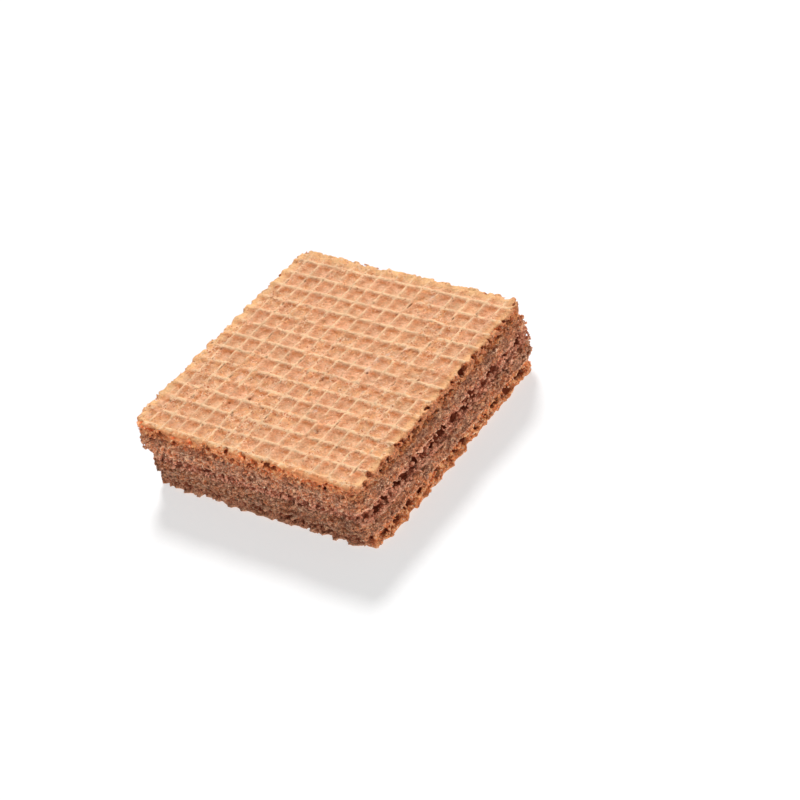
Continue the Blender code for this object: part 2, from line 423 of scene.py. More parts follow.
def wander(axes, seed):
    """How far the ridges wander sideways, in long bends and small kinks."""
    return 0.09 * noise(axes, 2.2, seed) + 0.07 * noise(axes, 0.55, seed + 10)


def ridge_distances(place, ridges):
    """How far each place is past the ridge before it, and how far it is until the next one."""
    number = np.floor(place)
    past = np.where(number < ridges[0], CELL, (place - np.minimum(number, ridges[1])) * CELL)
    until = np.where(number >= ridges[1], CELL, (np.maximum(number + 1, ridges[0]) - place) * CELL)
    return past, until


def sunk_beside(distances, crest, foot, share):
    """How far the face has sunk beside the ridges: 0 on a crest and 1 beyond its foot."""
    past, until = distances
    sunk = []
    for away, reach, last in ((until, foot[0], share[0]), (past, foot[1], share[1])):
        steep = np.clip((away - crest) / RIDGE_STEEP, 0, 1)
        sunk.append((1 - last) * (1 - (1 - steep) ** 1.5) + last * ramp(0, 1, away / reach))
    return np.minimum(*sunk)


def crest_share(distances, crest):
    """1 on the crest of a ridge, falling to 0 where its steep part ends."""
    return 1 - np.clip((np.minimum(*distances) - crest) / RIDGE_STEEP, 0, 1)


def browned_and_shaded_share(distances, reach):
    """How far the flank past each ridge is painted darker brown, from 0 to 1: partly browning from the
    baking, partly painted shade on the side away from the key light.
    """
    start, full, fading, end, most = reach
    past = distances[0]
    return most * ramp(start, full, past) * (1 - ramp(fading, end, past))


def patches(x, y, places, stretch=1.4, near=0.5, far=1.2):
    """1, or a share, in the middle of each place, and 0 outside. They have u, v and a radius in mm."""
    covered = np.zeros(np.broadcast(x, y).shape)
    for u, v, radius, *share in places:
        centre = from_grid(u, v)
        away = np.hypot((x - centre[0]) * stretch, y - centre[1]) / radius
        most = share[0] if share else 1
        covered = np.maximum(covered, most * (1 - ramp(near, far, away)))
    return covered


def embossing(axes, origin, ridges, seed, breaks=()):
    """The baked face: its depth below the highest ridges, and maps of its look."""
    axes = axes[:2]
    u = (axes[0][:, None] - origin[0] + wander(axes, seed)) / CELL
    v = (origin[1] - axes[1][None, :] + wander(axes, seed + 1)) / CELL
    from_u, from_v = ridge_distances(u, ridges), ridge_distances(v, ridges)
    sunk_u = sunk_beside(from_u, RIDGE_CREST[0], RIDGE_FOOT[0], FOOT_SHARE)
    sunk_v = sunk_beside(from_v, RIDGE_CREST[1], RIDGE_FOOT[1], FOOT_SHARE)
    whole = ramp(-0.45, -0.15, u) * ramp(-0.45, -0.15, v)
    floor = np.minimum(sunk_u, sunk_v)
    depth = RIDGE_HEIGHT * floor * (0.55 + 0.45 * whole)

    broken = patches(axes[0][:, None], axes[1][None, :], breaks, 1, 0.4, 1.15)
    blistered = 0.45 + 0.6 * noise(axes, 4.6, seed + 2) + 0.4 * noise(axes, 1.5, seed + 3)
    blistered = np.maximum(np.clip(blistered, 0, 1), broken)
    depth -= floor * blistered * BLISTER_RISE * (1 + noise(axes, 0.9, seed + 4)) / 2
    depth += BLISTER_FOAM * blistered * (foam(axes, 0.6, seed + 5) - 0.4)
    depth += FACE_GRAIN * noise(axes, 0.34, seed + 6) * (0.5 + 0.5 * blistered)
    chipped = ramp(0.05, 0.7, noise(axes, 0.7, seed + 7)) * (0.3 + 0.7 * blistered)
    lost = np.maximum(0.45 * chipped + 0.12 * foam(axes, 0.5, seed + 8), broken)
    depth += (1 - floor) * lost * RIDGE_HEIGHT
    crest = np.maximum(crest_share(from_u, RIDGE_CREST[0]), crest_share(from_v, RIDGE_CREST[1]))
    # Painted darker brown past each ridge: partly browning, partly painted shade away from the key light.
    browned_and_shaded = np.maximum(browned_and_shaded_share(from_u, BROWNED_AND_SHADED[0]), browned_and_shaded_share(from_v, BROWNED_AND_SHADED[1]))

    tones = np.random.default_rng(seed + 9).uniform(-1, 1, (TONE_CELLS, TONE_CELLS))
    return np.maximum(depth, 0), {
        "crest": crest * (1 - np.minimum(1.6 * lost, 1)) * (0.7 + 0.3 * whole),
        "browned_and_shaded": np.maximum(browned_and_shaded * (1 - crest), 0.7 * lost * (1 - floor)),
        "blister": blistered,
        "tone": tones[np.floor(u).astype(int) + TONE_SHIFT, np.floor(v).astype(int) + TONE_SHIFT],
    }


def bites(axes, seed):
    """How much of a cut side has crumbled away, in crumbs of several sizes, from 0 to 1."""
    total = 0.12 * (1 + noise(axes, 2.4, seed)) / 2
    for n, (size, share) in enumerate(CRUMB_SIZES):
        total = total + share * foam(axes, size, seed + 1 + n)
    return total


def between_faces(axes, top, bottom):
    """Below zero between two uneven faces."""
    z = axes[2][None, None, :]
    return np.maximum(z - top[:, :, None], bottom[:, :, None] - z)


def with_skins(field, axes, side, top, bottom, seed, scallop=SCALLOP):
    """Puts back the two closed skins of a sheet, which jut out a little past its crumb."""
    thick = SKIN * (1 + 0.4 * noise(axes[:2], 1.1, seed))
    side = side + scallop * ramp(-0.3, 0.7, noise(axes[:2], 1.5, seed + 1))[:, :, None]
    upper = np.maximum(side, between_faces(axes, top, top - thick))
    lower = np.maximum(side, between_faces(axes, bottom + thick, bottom))
    np.minimum(field, np.minimum(upper, lower), out=field)


def ragged_edge(axes, origin, seed, ends):
    """How far the edge of a baked face has broken back: in crumbs, and between the ends of the ridges."""
    x, y = axes[0][:, None], axes[1][None, :]
    u, v = (x - origin[0]) / CELL, (origin[1] - y) / CELL
    beside = ramp(17.0, 20.0, np.abs(x)) * (1 - np.cos(2 * math.pi * v)) / 2
    behind = ramp(17.0, 20.0, y) * (1 - np.cos(2 * math.pi * u)) / 2
    crumbs = EDGE_CRUMBS * (1 + noise(axes[:2], 0.6, seed))
    crumbs = crumbs + FRONT_CRUMBS * ramp(-18.0, -20.0, y) * noise(axes[:2], 1.1, seed + 1)
    return (ends * np.maximum(beside, behind) + crumbs)[:, :, None]


# ---- pockets, pores and crumbs


def pocket(field, axes, centre, direction, half_length, half_height, depth, rough):
    """An air pocket laid open in a cut side."""
    angle = math.atan2(direction[1], direction[0])
    ellipsoid(field, axes, centre, (half_length, depth, half_height), (0, 0, angle), rough)


def open_pockets(field, axes, outline, middle, height, seen, seed):
    """The air pockets that the cut has laid open: about one for each cell where none is seen."""
    draw = np.random.default_rng(seed)
    rough = 0.5 - 0.4 * foam(axes, 0.9, seed + 1) - 0.3 * foam(axes, 0.45, seed + 2)
    count = int(np.linalg.norm(np.roll(outline, -1, axis=0) - outline, axis=1).sum() / CELL)
    for place, direction in along_outline(outline, count):
        size, shift, lift, chance = draw.uniform(size=4)
        if direction[0] > 0.8 or direction[1] > 0.8 or chance > POCKET_SHARE:
            continue
        centre = (*(place + direction * (shift - 0.5) * 0.35 * CELL), middle + (lift - 0.5) * 0.3 * height)
        half_height = height * (0.65 + 0.4 * size)
        pocket(field, axes, centre, direction, 0.8 + 0.7 * size, half_height, 1.0 + 0.8 * size, rough)
    seen_pockets(field, axes, *seen, rough)
    return rough


def seen_pockets(field, axes, right, front, rough):
    """The air pockets of the right side and of the front, each at its own place."""
    places = []
    for v, *sizes in right:
        y = from_grid(0, v)[1]
        x = BACK_WIDTH / 2 + (FRONT_WIDTH - BACK_WIDTH) / 2 * (0.5 - y / DEPTH) + SPREAD
        places.append((x, y, (0, 1), sizes, RIGHT_POCKET))
    for u, *sizes in front:
        x = from_grid(u, 0)[0]
        y = -DEPTH / 2 + FRONT_SKEW * (0.5 + x / FRONT_WIDTH) - SPREAD
        places.append((x, y, (1, 0), sizes, FRONT_POCKET))
    for x, y, direction, sizes, (longer, higher, reach) in places:
        depth, half_length, half_height = (size / 100 for size in sizes)
        length, height = longer * half_length * CELL, higher * half_height * CELL
        pocket(field, axes, (x, y, TOP - depth * CELL), direction, length, height, reach, rough)


def scatter(field, axes, outline, heights, count, sizes, seed, add=False, inset=(-0.05, 0.4)):
    """Small pores in the cut sides, or crumbs on them."""
    draw = np.random.default_rng(seed)
    places = list(along_outline(outline, 4 * count))
    for pick in draw.choice(len(places), count, replace=False):
        place, direction = places[pick]
        inwards = np.array((-direction[1], direction[0]))
        centre = place + inwards * draw.uniform(*inset)
        radius = sizes[0] + (sizes[1] - sizes[0]) * draw.uniform() ** 2
        radii = radius * draw.uniform(0.55, 1.6, 3)
        angle = math.atan2(direction[1], direction[0])
        turn = (draw.uniform(-0.8, 0.8), draw.uniform(-0.8, 0.8), angle)
        ellipsoid(field, axes, (*centre, draw.uniform(*heights)), tuple(radii), turn, add=add)


def pits(field, axes, face, count, seed):
    """Pinholes in a baked face."""
    draw = np.random.default_rng(seed)
    for _ in range(count):
        x, y = draw.uniform(-22, 22), draw.uniform(-21.5, 21.5)
        radius = 0.1 + 0.16 * draw.uniform() ** 3
        z = sample(axes, face, np.array([[x, y]]))[0]
        ellipsoid(field, axes, (x, y, z), (radius, radius * draw.uniform(0.8, 1.6), 0.16))


def slits(field, axes, height, count, seed):
    """Short slits beside the ridges that run to the front."""
    draw = np.random.default_rng(seed)
    for _ in range(count):
        x, y = from_grid(draw.integers(0, 14), draw.uniform(0.2, 12.6))
        half = draw.uniform(0.14, 0.42)
        ellipsoid(field, axes, (x + 0.16, y, height - 0.22), (0.11, half, 0.3))


def top_marks(field, axes, high, rough):
    """The larger cracks and holes of the top, its broken corner and the loose flake."""
    for u, v, half in CRACKS:
        ellipsoid(field, axes, (*from_grid(u, v), high - 0.3), (0.13, half, 0.5))
    for u, v, radius in HOLES:
        ellipsoid(field, axes, (*from_grid(u, v), high - 0.35), (radius, radius, 0.45))
    x, y, above = NOTCH
    ellipsoid(field, axes, (x, y, high + above), NOTCH_SIZES, NOTCH_TURN, rough=rough)
    flake = (*from_grid(*FLAKE[:2]), high - FLAKE_SINK)
    ellipsoid(field, axes, flake, FLAKE_SIZES, FLAKE_TURN, add=True)


# ---- the layers


def upright_share(points, quads):
    """How much of each point's surface faces sideways, from 0 to 1."""
    corners = points[quads]
    across = np.cross(corners[:, 2] - corners[:, 0], corners[:, 3] - corners[:, 1])
    normals = np.zeros(points.shape)
    for corner in range(4):
        np.add.at(normals, quads[:, corner], across)
    length = np.maximum(np.linalg.norm(normals, axis=1), 1e-12)
    return 1 - ramp(0.3, 0.8, np.abs(normals[:, 2]) / length)


def finish_layer(name, axes, field, distance, faces, flats, maps, looks_of):
    """The mesh of a layer, with single faces at the flats and attributes for the materials."""
    z = axes[2][None, None, :]
    field = np.maximum(field, np.maximum(distance - SPREAD_TRIM, np.maximum(z - TOP, -z)))
    points, quads = largest_piece(*surface_net(axes, field))
    inset, front = -sample(axes, distance[:, :, 0], points), front_share(points)
    quads, extra = plain_hidden_faces(points, quads, inset, flats)
    below = sample(axes, faces[0], points) - points[:, 2]
    above = points[:, 2] - sample(axes, faces[1], points)
    attributes = {key: sample(axes, values, points) for key, values in maps.items()}
    attributes.update({"inset": inset, "front": front})
    attributes.update(looks_of(points, inset, front, below, above))
    if "baked" in attributes:
        torn = upright_share(points, quads) * (1 - ramp(0.6, 1.3, inset))
        attributes["baked"] = attributes["baked"] * (1 - torn)
    return mesh_object(name, points, quads, extra, attributes)


def pinhole(inset):
    """How baked the walls of a hole are: well away from the sides it has been there since the baking."""
    return 0.6 * ramp(1.6, 2.4, inset)


def heights_of(node):
    low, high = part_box(node)
    return low.z / MM, high.z / MM


def front_share(points):
    """1 on the front side of the wafer, 0 on the others."""
    return ramp(18.0, 20.5, -points[:, 1]) * ramp(22.5, 20.0, points[:, 0])


def top_sheet():
    low, high = heights_of("wafer_top")
    outline, front = outline_of("wafer_top"), outline_of("wafer_top", TOP_CHIP)
    axes = layer_grid(TOP_ORIGIN, (low - 0.6, high - 0.68, GRAIN), (high - 0.6, high + 0.4, FINE_GRAIN))
    z = axes[2][None, None, :]
    whole, broken = outline_distance(axes, outline), outline_distance(axes, front)
    share = ramp(low, high - 0.5, z)
    distance = whole[:, :, None] * (1 - share) + broken[:, :, None] * share
    sunk, maps = embossing(axes, TOP_ORIGIN, TOP_RIDGES, 100, TOP_BREAKS)
    top = high - sunk
    bottom = joint_face(axes, whole, low, 300)
    torn = bites(axes, 110)
    hollow = ramp(-0.25, 0.45, noise(axes[:2], 1.7, 180))[:, :, None]
    groove = 0.75 * hollow * np.exp(-(((high - UNDER_SKIN - z) / 0.36) ** 2))
    side = distance - FULL_CRUMB + TOP_WEAR[0] * torn + groove
    field = np.maximum(side, between_faces(axes, top, bottom))
    middle = (low + high - RIDGE_HEIGHT) / 2
    rough = open_pockets(field, axes, outline, middle, 0.85, (TOP_RIGHT, TOP_FRONT), 120)
    scatter(field, axes, outline, (low, high - 0.4), 1500, (0.16, 0.55), 130)
    scatter(field, axes, outline, (low, high - 0.3), 1300, (0.14, 0.34), 140, True, CRUMB_INSET)
    worn_right = WORN_RIGHT * ramp(16.0, 19.0, axes[0])[:, None, None]
    edge = distance - FULL_FACE + TOP_WEAR[1] * torn + worn_right + ragged_edge(axes, TOP_ORIGIN, 200, 0.32)
    with_skins(field, axes, edge, top, bottom, 170, FACE_SCALLOP)
    scatter(field, axes, front, (high - 1.5, high - 0.2), 800, (0.14, 0.42), 160, True, (-0.1, 0.4))
    pits(field, axes, top, 700, 150)
    slits(field, axes, high, 90, 190)
    top_marks(field, axes, high, rough)

    def looks_of(points, inset, front, below, above):
        x, y, z = points.T
        share = ramp(low, high - 0.5, z)
        inset = inset * (1 - share) - sample(axes, broken, points) * share
        inset = inset * (1 - 0.8 * patches(x, y, (BROKEN_CORNER,)) * ramp(0.15, 0.35, below))
        flake = patches(x, y, (FLAKE,)) * ramp(0.7, 0.55, high - z)
        return {
            "inset": inset,
            "baked": np.maximum.reduce((1 - ramp(0.08, 0.2, below), pinhole(inset), flake)),
            "seam": 1 - ramp(0.25, 0.6, above) * ramp(0.4, 1.1, below),
            "smear": 1 - ramp(0.0, 0.8 + 0.9 * front, above),
            "soaked": 0.5 * front * ramp(high - 1.2, low, z),
            "bloom": patches(x, y, BLOOMS),
        }

    return finish_layer("top_sheet", axes, field, distance, (top, bottom), [low], maps, looks_of)


def middle_sheet():
    low, high = heights_of("wafer_middle")
    outline = outline_of("wafer_middle")
    axes = layer_grid(None, (low - 0.7, high + 0.8, FLAT_GRAIN))
    distance = upright_distance(axes, outline)
    top = joint_face(axes, distance[:, :, 0], high, 320)
    bottom = joint_face(axes, distance[:, :, 0], low, 340)
    torn = bites(axes, 210)
    field = np.maximum(distance - FULL_CRUMB + MIDDLE_WEAR[0] * torn, between_faces(axes, top, bottom))
    open_pockets(field, axes, outline, (low + high) / 2, 0.95, (MIDDLE_RIGHT, MIDDLE_FRONT), 220)
    scatter(field, axes, outline, (low, high), 1700, (0.16, 0.55), 230)
    scatter(field, axes, outline, (low, high), 1500, (0.14, 0.34), 240, True, CRUMB_INSET)
    with_skins(field, axes, distance - FULL_CRUMB + MIDDLE_WEAR[1] * torn, top, bottom, 270)

    def looks_of(points, inset, front, below, above):
        upper_seam = 1 - ramp(0.3, 0.9, below)
        lower_seam = 0.65 - 0.65 * ramp(0.25, 0.7, above)
        return {
            "seam": np.maximum(upper_seam, lower_seam),
            "smear": 1 - ramp(0.0, 0.25 + 1.7 * front, np.minimum(above, below)),
            "soaked": np.ones(len(points)),
        }

    return finish_layer("middle_sheet", axes, field, distance, (top, bottom), [low, high], {}, looks_of)


def bottom_sheet():
    low, high = heights_of("wafer_bottom")
    outline = outline_of("wafer_bottom")
    axes = layer_grid(BASE_ORIGIN, (low - 0.38, low + 0.6, FINE_GRAIN), (low + 0.68, high + 0.6, GRAIN))
    distance = upright_distance(axes, outline)
    sunk, maps = embossing(axes, BASE_ORIGIN, BASE_RIDGES, 400)
    bottom = low + sunk
    top = joint_face(axes, distance[:, :, 0], high, 360)
    torn = bites(axes, 410)
    field = np.maximum(distance - FULL_CRUMB + BASE_WEAR[0] * torn, between_faces(axes, top, bottom))
    middle = (low + high + RIDGE_HEIGHT) / 2
    open_pockets(field, axes, outline, middle, 0.8, (BASE_RIGHT, BASE_FRONT), 420)
    scatter(field, axes, outline, (low + 0.4, high), 1400, (0.16, 0.5), 430)
    scatter(field, axes, outline, (low + 0.7, high), 1300, (0.14, 0.32), 440, True, CRUMB_INSET)
    edge = distance - FULL_FACE + BASE_WEAR[1] * torn + ragged_edge(axes, BASE_ORIGIN, 480, 0.16)
    with_skins(field, axes, edge, top, bottom, 470, FACE_SCALLOP)
    pits(field, axes, bottom, 500, 450)

    def looks_of(points, inset, front, below, above):
        return {
            "baked": np.maximum(1 - ramp(0.1, 0.24, above), pinhole(inset)),
            "seam": 1 - ramp(0.25, 0.6, below) * ramp(0.3, 0.8, above),
            "smear": 1 - ramp(0.0, 0.6 + 1.5 * front, below),
            "soaked": 0.8 * front,
        }

    return finish_layer("bottom_sheet", axes, field, distance, (top, bottom), [high], maps, looks_of)


def cream(name, node, below, above, joint_seeds, seed):
    """A layer of cream from the sheet below to the sheet above, whose faces its own faces follow."""
    low, high = heights_of(below)[1], heights_of(above)[0]
    outline = outline_of(node)
    axes = layer_grid(None, (low - 0.7, high + 0.8, FLAT_GRAIN))
    distance = upright_distance(axes, outline)
    bottom = joint_face(axes, outline_distance(axes, outline_of(below)), low, joint_seeds[0])
    top = joint_face(axes, outline_distance(axes, outline_of(above)), high, joint_seeds[1])
    bottom, top = bottom - CREAM_OVERLAP, top + CREAM_OVERLAP
    side = distance - FULL_CRUMB + CREAM_WEAR * bites(axes, seed)
    field = np.maximum(side, between_faces(axes, top, bottom))
    scatter(field, axes, outline, (low, high), 1300, (0.14, 0.42), seed + 10)
    scatter(field, axes, outline, (low, high), 1600, (0.13, 0.32), seed + 20, True, (0.0, 0.6))
    flats = [low - CREAM_OVERLAP, high + CREAM_OVERLAP]
    return finish_layer(name, axes, field, distance, (top, bottom), flats, {}, lambda *_: {})


# ---- materials


class Shader:
    """Short ways of adding nodes to one material."""

    def __init__(self, name):
        self.material = bpy.data.materials.new(name)
        self.material.use_nodes = True
        self.nodes = self.material.node_tree.nodes
        in_metres = self.add("TexCoord", {}, "Object")
        self.place = self.add("VectorMath", {0: in_metres, "Scale": 1 / MM}, operation="SCALE")

    def put(self, socket, value):
        if isinstance(value, bpy.types.NodeSocket):
            self.material.node_tree.links.new(value, socket)
        else:
            socket.default_value = (*value, 1.0) if socket.type == "RGBA" else value

    def add(self, kind, inputs, output=0, operation=None):
        """The output of a new node. inputs are sockets or plain values, under their names or numbers."""
        node = self.nodes.new("ShaderNode" + kind)
        if operation:
            node.operation = operation
        for key, value in inputs.items():
            self.put(node.inputs[key], value)
        return node.outputs[output]

    def attribute(self, name):
        value = self.add("Attribute", {}, "Fac")
        value.node.attribute_name = name
        return value

    def noise(self, size, detail=2.0, rough=0.5, stretch=(1, 1, 1), shift=0.0):
        """Noise from 0 to 1 with lumps about size mm across."""
        place = {"Vector": self.place, "Scale": stretch, "Location": (shift, shift, shift)}
        look = {"Scale": 0.5 / size, "Detail": detail, "Roughness": rough}
        return self.add("TexNoise", {"Vector": self.add("Mapping", place), **look}, "Fac")

    def bubbles(self, size):
        """Small burst blisters: the share of the torn rim and of the hollow at each point."""
        bent = self.add("TexNoise", {"Vector": self.place, "Scale": 0.9 / size}, "Color")
        bend = 1.3 * size
        moved = self.add("VectorMath", {0: bent, 1: (bend, bend, bend), 2: self.place}, 0, "MULTIPLY_ADD")
        away = self.add("TexVoronoi", {"Vector": moved, "Scale": 1 / size}, "Distance")
        ring = self.combine("ABSOLUTE", self.combine("SUBTRACT", away, 0.36), 0.0)
        torn = self.step(self.noise(0.5, 2.0, shift=43.0), 0.48, 0.56)
        return self.times(self.step(ring, 0.12, 0.04), torn), self.step(away, 0.3, 0.16)

    def step(self, value, low, high, to_low=0.0, to_high=1.0):
        """to_low where the value is at low, to_high where it is at high, and smooth in between."""
        inputs = {"Value": value, "From Min": low, "From Max": high, "To Min": to_low, "To Max": to_high}
        result = self.add("MapRange", inputs, "Result")
        result.node.interpolation_type = "SMOOTHSTEP"
        return result

    def spots(self, size, detail, shift, low, high, to_low=0.0, to_high=1.0):
        """A step of rough noise, which leaves spots about size mm across."""
        return self.step(self.noise(size, detail, 0.6, shift=shift), low, high, to_low, to_high)

    def combine(self, operation, first, second):
        return self.add("Math", {0: first, 1: second}, operation=operation)

    def times(self, first, second):
        return self.combine("MULTIPLY", first, second)

    def plus(self, first, second):
        return self.combine("ADD", first, second)

    def mix(self, share, first, second):
        """The first colour with a share of the second. The node's sockets for these are 0, 6 and 7."""
        result = self.add("Mix", {0: share, 6: first, 7: second}, 2)
        result.node.data_type = "RGBA"
        return result

    def shade(self, colour, factor):
        """The colour made lighter or darker by a factor from the nodes."""
        return self.add("VectorMath", {0: colour, "Scale": factor}, operation="SCALE")

    def tint(self, colour, factors):
        """The colour with its red, green and blue each multiplied."""
        return self.add("VectorMath", {0: colour, 1: factors}, operation="MULTIPLY")

    def along(self, axis):
        """The place along one axis in mm."""
        return self.add("SeparateXYZ", {0: self.place}, axis)

    def finish(self, colour, relief, depth, roughness, specular):
        """Gives the surface its colour, gloss and bump. depth is how deep the bump is, in mm."""
        bump = self.add("Bump", {"Height": relief, "Distance": depth * MM})
        inputs = self.nodes["Principled BSDF"].inputs
        inputs["Roughness"].default_value = roughness
        inputs["Specular IOR Level"].default_value = specular
        self.put(inputs["Base Color"], colour)
        self.put(inputs["Normal"], bump)
        return self.material


# The baked faces.
SANDY = (0.92, 0.518, 0.286)
PINK = (0.92, 0.484, 0.278)
ORANGE = (0.92, 0.43, 0.17)
PALE = (1.0, 0.67, 0.43)
# pale crests: partly less toasted, partly a painted highlight
PALE_CREST_AND_HIGHLIGHT = (1.0, 0.638, 0.365)
# flanks past the ridges: partly browning, partly painted shade
FLANK_BROWN_AND_SHADE = (0.67, 0.203, 0.056)
WHITISH = (1.0, 0.68, 0.5)
TAN = (0.784, 0.345, 0.153)
RIM = (1.0, 0.568, 0.256)
WORN = (0.82, 0.34, 0.14)
# The crumb of the cut sides.
DRY = (0.62, 0.152, 0.044)
DRY_LIGHT = (0.96, 0.415, 0.158)
DRY_SKIN = (0.79, 0.25, 0.08)
SOAKED = (0.44, 0.108, 0.046)
SOAKED_LIGHT = (0.93, 0.385, 0.232)
SOAKED_SKIN = (1.0, 0.47, 0.29)
# painted shade in the gaps and pockets of the crumb
DEEP_SHADE = (0.245, 0.045, 0.015)
SPARKLE = (1.0, 0.67, 0.42)
# The cream.
CREAM_GREY = (0.5, 0.21, 0.115)
CREAM_BROWN = (0.7, 0.245, 0.105)
CREAM_LIGHT = (1.0, 0.56, 0.3)
# painted shade in the gaps and hollows of the cream
CREAM_SHADE = (0.2, 0.053, 0.022)
# How the cut sides differ in hue from place to place.
PLAIN_TINT = (1.0, 1.0, 1.0)
UPPER_TINT = (1.0, 0.86, 0.8)
BASE_TINT = (1.0, 1.1, 1.24)
FRONT_TINT = (0.98, 1.05, 1.12)


def cream_colour(shader):
    """Set cocoa cream: grey-brown, with pale crumbs, and painted shade in its dark gaps."""
    base = shader.mix(shader.step(shader.noise(1.0, 3.0), 0.38, 0.62), CREAM_GREY, CREAM_BROWN)
    pale = shader.step(shader.noise(0.34, 3.0, 0.65, (1, 1, 1.5), 7.0), 0.54, 0.64)
    base = shader.mix(shader.times(pale, 0.75), base, CREAM_LIGHT)
    # Painted shade in the gaps of the cream.
    dark = shader.step(shader.noise(0.36, 3.0, 0.65, (1, 1, 1.5), 19.0), 0.45, 0.36)
    return sparkling(shader, shader.mix(shader.times(dark, 0.8), base, CREAM_SHADE))


def sparkling(shader, colour):
    """Painted highlights: tiny pale spots, as on crumbs that catch the light."""
    return shader.mix(shader.spots(0.19, 2.0, 37.0, 0.58, 0.67, 0.0, 0.8), colour, SPARKLE)


def grainy(shader, colour):
    """The finest light and dark grains of a cut side."""
    return shader.shade(colour, shader.spots(0.14, 2.0, 47.0, 0.3, 0.7, 0.6, 1.42))


def painted_shade_and_hue_by_side(shader, colour):
    """Lightness and hue by side and height. On the front the lightness is painted shade and light: darker
    towards the base and lighter above, most at the top lip. The other sides change less.
    """
    height = shader.along("Z")
    front = shader.attribute("front")
    # Painted shade and light on the front: darker towards the base, lighter above and at the top lip.
    front_painted_shade = shader.step(height, 0.6, 9.5, 0.74, 1.34)
    front_painted_shade = shader.plus(front_painted_shade, shader.step(height, 11.3, 12.1, 0.0, 0.42))
    middle_skin = shader.times(shader.step(height, 7.0, 7.6), shader.step(height, 8.6, 8.1, 0.0, 0.15))
    elsewhere = shader.step(height, 9.3, 10.3, 1.0, 0.93)
    elsewhere = shader.plus(elsewhere, shader.step(height, 2.9, 3.4, 0.28, 0.0))
    elsewhere = shader.plus(elsewhere, middle_skin)
    lightness = shader.times(elsewhere, shader.combine("SUBTRACT", 1.0, front))
    lightness = shader.plus(shader.times(front_painted_shade, front), lightness)
    hue = shader.mix(shader.step(height, 2.9, 3.4), BASE_TINT, PLAIN_TINT)
    hue = shader.mix(shader.step(height, 10.4, 11.2), hue, UPPER_TINT)
    front_hue = shader.mix(shader.step(height, 4.0, 6.0), PLAIN_TINT, FRONT_TINT)
    front_hue = shader.mix(shader.step(height, 10.6, 11.3), front_hue, PLAIN_TINT)
    return shader.tint(shader.shade(colour, lightness), shader.mix(front, hue, front_hue))


def plain_face_colour(shader, front_or_right):
    """A baked face without its ridges: sandy to pink from cell to cell, golden near the sides."""
    inset = shader.attribute("inset")
    tone = shader.step(shader.noise(3.0, 2.0), 0.3, 0.7, -1, 1)
    tone = shader.plus(shader.attribute("tone"), tone)
    face = shader.mix(shader.step(tone, -1.4, 1.4), SANDY, PINK)
    face = shader.mix(shader.spots(0.6, 3.0, 3.0, 0.5, 0.64, 0.0, 0.65), face, TAN)
    golden = shader.step(inset, 2.3, 1.0, 0.0, 0.85)
    golden = shader.times(golden, shader.step(front_or_right, 0, 1, 1, 0.85))
    face = shader.mix(golden, face, RIM)
    # The flank past each ridge: partly browning, partly painted shade on the side away from the key light.
    flank = shader.step(shader.noise(0.7, shift=9.0), 0.3, 0.6, 0.5, 1.0)
    flank = shader.times(shader.attribute("browned_and_shaded"), flank)
    flank = shader.times(flank, shader.step(inset, 0.6, 2.2, 0.45, 1.0))
    return shader.mix(flank, face, FLANK_BROWN_AND_SHADE)


def baked_colour(shader):
    """A baked face: flanks darker brown, partly painted shade, and ridges pale, partly a painted highlight;
    blisters, bloom and specks, frayed at the edge.
    """
    inset, front = shader.attribute("inset"), shader.attribute("front")
    front_or_right = shader.combine("MAXIMUM", shader.step(shader.along("X"), 17.0, 19.5), front)
    baked = plain_face_colour(shader, front_or_right)
    blistered = shader.step(shader.attribute("blister"), 0.28, 0.72)
    orange = shader.times(shader.spots(0.5, 3.0, 31.0, 0.48, 0.6, 0.0, 0.55), blistered)
    baked = shader.mix(orange, baked, ORANGE)
    # Pale crests: partly less toasted, partly a painted highlight along the ridges.
    baked = shader.mix(shader.step(shader.attribute("crest"), 0.38, 0.78), baked, PALE_CREST_AND_HIGHLIGHT)
    rim, hollow = shader.bubbles(0.75)
    burst = shader.plus(shader.times(blistered, 0.65), 0.08)
    baked = shader.mix(shader.times(hollow, burst), baked, DRY)
    baked = shader.mix(shader.times(rim, burst), baked, PALE)
    bloom = shader.step(shader.noise(0.5, 3.0), 0.35, 0.6, 0.0, 0.75)
    baked = shader.mix(shader.times(shader.attribute("bloom"), bloom), baked, WHITISH)
    baked = shader.mix(shader.spots(0.2, 2.0, 29.0, 0.64, 0.7, 0.0, 0.85), baked, PALE)
    baked = shader.mix(shader.spots(0.22, 2.0, 13.0, 0.37, 0.31, 0.0, 0.85), baked, DRY)
    baked = shader.shade(baked, shader.spots(0.16, 2.0, 5.0, 0.3, 0.7, 0.9, 1.1))
    baked = shader.shade(baked, shader.spots(1.5, 3.0, 17.0, 0.3, 0.7, 0.92, 1.08))
    worn = shader.times(shader.step(inset, 0.6, 0.2), front_or_right)
    baked = shader.mix(shader.times(worn, 0.8), baked, WORN)
    frayed = shader.spots(0.6, 3.0, 53.0, 0.5, 0.56, 0.0, 0.7)
    frayed = shader.times(frayed, shader.step(inset, 1.4, 0.7))
    return shader.mix(shader.times(frayed, front), baked, DRY_SKIN)


